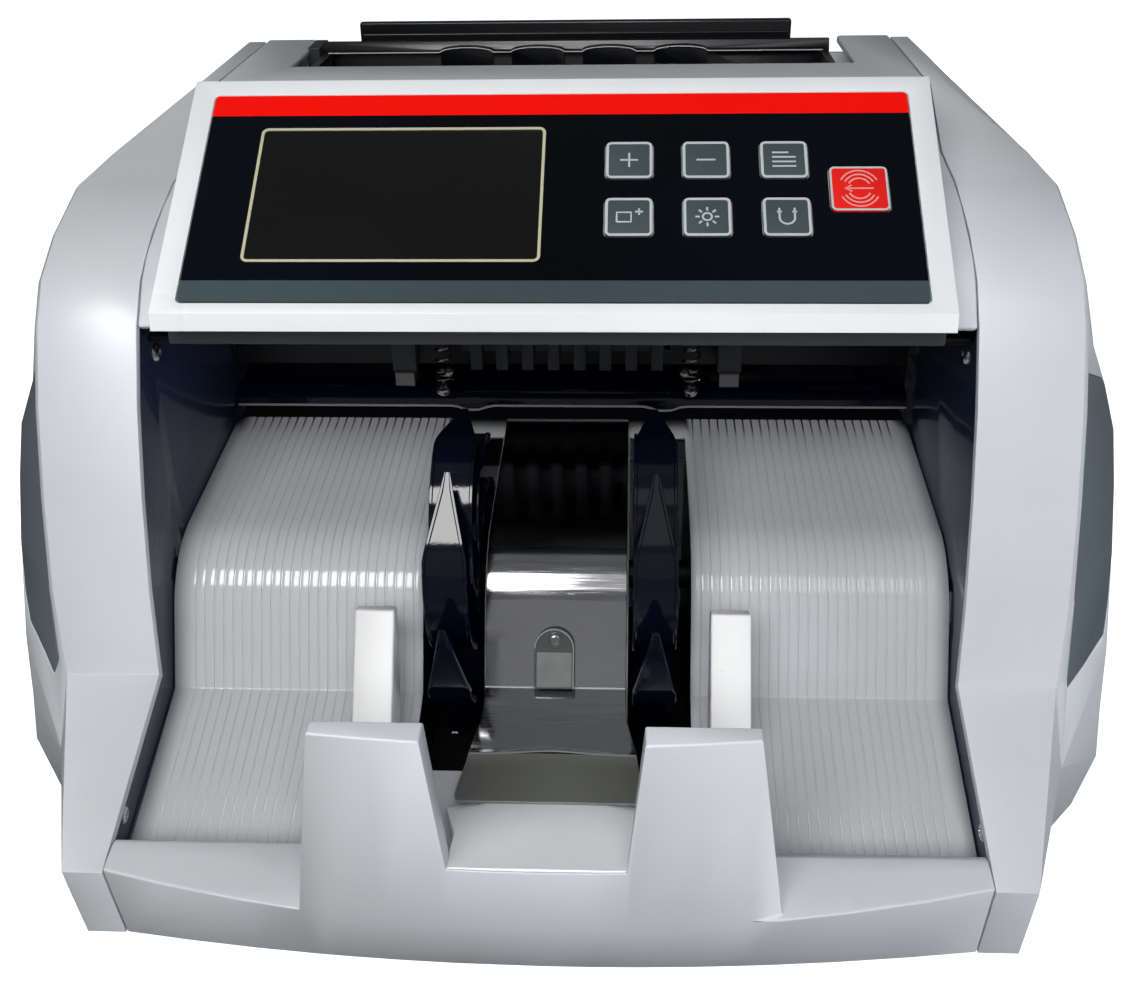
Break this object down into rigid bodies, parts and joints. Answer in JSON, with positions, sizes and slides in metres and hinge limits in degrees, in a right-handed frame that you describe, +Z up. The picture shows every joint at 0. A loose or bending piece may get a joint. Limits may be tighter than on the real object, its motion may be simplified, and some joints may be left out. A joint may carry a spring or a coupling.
{
  "type": "banknote counting machine",
  "caption": "Desktop banknote counter with side arches, sloped control panel, rear hopper, twin stacker wheels and an open front stacker pocket.",
  "frame": {"origin": "centre of the overall box at the height of the feet's undersides", "axes": "+Z up, the front with the stacker pocket faces -Y, +X is to the right of someone who faces the front"},
  "size_m": [0.3, 0.26, 0.1877],
  "materials": {
    "housing": "light cool grey, fine texture",
    "bezel": "near white, satin",
    "grip": "dark slate grey",
    "navy": "very dark navy, glossy",
    "ribbed": "silver grey with fine grooves",
    "stainless": "brushed stainless",
    "zinc": "zinc plated",
    "black_gloss": "glossy black",
    "black_plastic": "black, satin",
    "film": "printed panel film, near black with a red and a grey band",
    "screen": "dark display window",
    "key_grey": "grey printed key",
    "key_red": "red printed key",
    "clear": "clear moulded plastic",
    "rubber": "black rubber",
    "board": "green circuit board",
    "white_plastic": "off white",
    "motor_metal": "dark grey metal"
  },
  "bodies": {
    "machine": {"base_tray": "housing", "centre_plate": "stainless", "display_window": "screen", "drive_belt": "rubber", "exit_guide": "black_gloss", "feed_plate": "black_plastic", "frame_plate_left": "zinc", "frame_plate_right": "zinc", "front_tray": "housing", "guide_comb": "black_plastic", "guide_rail": "zinc", "hopper_tray": "black_plastic", "inner_wall_left": "navy", "inner_wall_right": "navy", "main_board": "board", "main_motor": "motor_metal", "panel_bezel": "bezel", "panel_film": "film", "pocket_hood": "black_plastic", "pocket_visor": "housing", "power_inlet": "black_plastic", "pressure_post_left": "grip", "pressure_post_right": "grip", "pressure_spring_left": "zinc", "pressure_spring_right": "zinc", "rear_cover": "housing", "rubber_foot_front_left": "rubber", "rubber_foot_front_right": "rubber", "rubber_foot_rear_left": "rubber", "rubber_foot_rear_right": "rubber", "sensor_cover": "clear", "side_cover_left": "housing", "side_cover_right": "housing", "side_grip_left": "grip", "side_grip_right": "grip", "stack_rest_left": "white_plastic", "stack_rest_right": "white_plastic", "stacker_plate": "ribbed", "top_cover": "housing", "transformer": "motor_metal"},
    "stacker": {"stacker_shaft": "zinc", "stacker_wheel_left": "black_gloss", "stacker_wheel_right": "black_gloss", "stacker_pulley": "black_plastic"},
    "motor_rotor": {"motor_pulley": "black_plastic"},
    "exit_rollers": {"exit_shaft": "rubber"},
    "transport_rollers": {"transport_shaft": "rubber"},
    "feed_rollers": {"feed_shaft": "rubber"},
    "pickup_rollers": {"pickup_shaft": "rubber"},
    "guide_left": {"hopper_guide_left": "black_plastic"},
    "guide_right": {"hopper_guide_right": "black_plastic"},
    "support": {"note_support": "black_plastic"},
    "switch_rocker": {"power_switch": "black_plastic"},
    "key_plus_cap": {"key_plus": "key_grey"},
    "key_minus_cap": {"key_minus": "key_grey"},
    "key_batch_cap": {"key_batch": "key_grey"},
    "key_add_cap": {"key_add": "key_grey"},
    "key_uv_cap": {"key_uv": "key_grey"},
    "key_magnetic_cap": {"key_magnetic": "key_grey"},
    "key_reset_cap": {"key_reset": "key_red"}
  },
  "joints": [
    {"name": "stacker_spin", "type": "hinge", "parent": "machine", "child": "stacker", "pos_m": [0, -0.026, 0.06], "axis": [1, 0, 0], "continuous": true},
    {"name": "motor_spin", "type": "hinge", "parent": "machine", "child": "motor_rotor", "pos_m": [0, 0.09, 0.04], "axis": [1, 0, 0], "continuous": true},
    {"name": "exit_spin", "type": "hinge", "parent": "machine", "child": "exit_rollers", "pos_m": [0, 0.062, 0.102], "axis": [1, 0, 0], "continuous": true},
    {"name": "transport_spin", "type": "hinge", "parent": "machine", "child": "transport_rollers", "pos_m": [0, 0.082, 0.096], "axis": [1, 0, 0], "continuous": true},
    {"name": "feed_spin", "type": "hinge", "parent": "machine", "child": "feed_rollers", "pos_m": [0, 0.094, 0.124], "axis": [1, 0, 0], "continuous": true},
    {"name": "pickup_spin", "type": "hinge", "parent": "machine", "child": "pickup_rollers", "pos_m": [0, 0.112, 0.146], "axis": [1, 0, 0], "continuous": true},
    {"name": "key_plus_press", "type": "slide", "parent": "machine", "child": "key_plus_cap", "axis": [0, 0.549, -0.8358], "range_m": [0, 0.0006], "stiffness_N_per_m": 1500, "springref_m": -0.0003},
    {"name": "key_minus_press", "type": "slide", "parent": "machine", "child": "key_minus_cap", "axis": [0, 0.549, -0.8358], "range_m": [0, 0.0006], "stiffness_N_per_m": 1500, "springref_m": -0.0003},
    {"name": "key_batch_press", "type": "slide", "parent": "machine", "child": "key_batch_cap", "axis": [0, 0.549, -0.8358], "range_m": [0, 0.0006], "stiffness_N_per_m": 1500, "springref_m": -0.0003},
    {"name": "key_add_press", "type": "slide", "parent": "machine", "child": "key_add_cap", "axis": [0, 0.549, -0.8358], "range_m": [0, 0.0006], "stiffness_N_per_m": 1500, "springref_m": -0.0003},
    {"name": "key_uv_press", "type": "slide", "parent": "machine", "child": "key_uv_cap", "axis": [0, 0.549, -0.8358], "range_m": [0, 0.0006], "stiffness_N_per_m": 1500, "springref_m": -0.0003},
    {"name": "key_magnetic_press", "type": "slide", "parent": "machine", "child": "key_magnetic_cap", "axis": [0, 0.549, -0.8358], "range_m": [0, 0.0006], "stiffness_N_per_m": 1500, "springref_m": -0.0003},
    {"name": "key_reset_press", "type": "slide", "parent": "machine", "child": "key_reset_cap", "axis": [0, 0.549, -0.8358], "range_m": [0, 0.0006], "stiffness_N_per_m": 1500, "springref_m": -0.0003},
    {"name": "guide_left_slide", "type": "slide", "parent": "machine", "child": "guide_left", "axis": [1, 0, 0], "range_m": [0, 0.02]},
    {"name": "guide_right_slide", "type": "slide", "parent": "machine", "child": "guide_right", "axis": [-1, 0, 0], "range_m": [0, 0.02]},
    {"name": "support_lift", "type": "slide", "parent": "machine", "child": "support", "axis": [0, 0, 1], "range_m": [0, 0.04]},
    {"name": "switch_rock", "type": "hinge", "parent": "machine", "child": "switch_rocker", "pos_m": [-0.04, 0.1215, 0.038], "axis": [1, 0, 0], "range_deg": [-9, 9]}
  ],
  "couplings": [
    {"joint": "motor_spin", "follows": "stacker_spin", "ratio": 1.5556},
    {"joint": "exit_spin", "follows": "stacker_spin", "ratio": -4},
    {"joint": "transport_spin", "follows": "stacker_spin", "ratio": -3.2},
    {"joint": "feed_spin", "follows": "stacker_spin", "ratio": -2},
    {"joint": "pickup_spin", "follows": "stacker_spin", "ratio": 2.5}
  ]
}
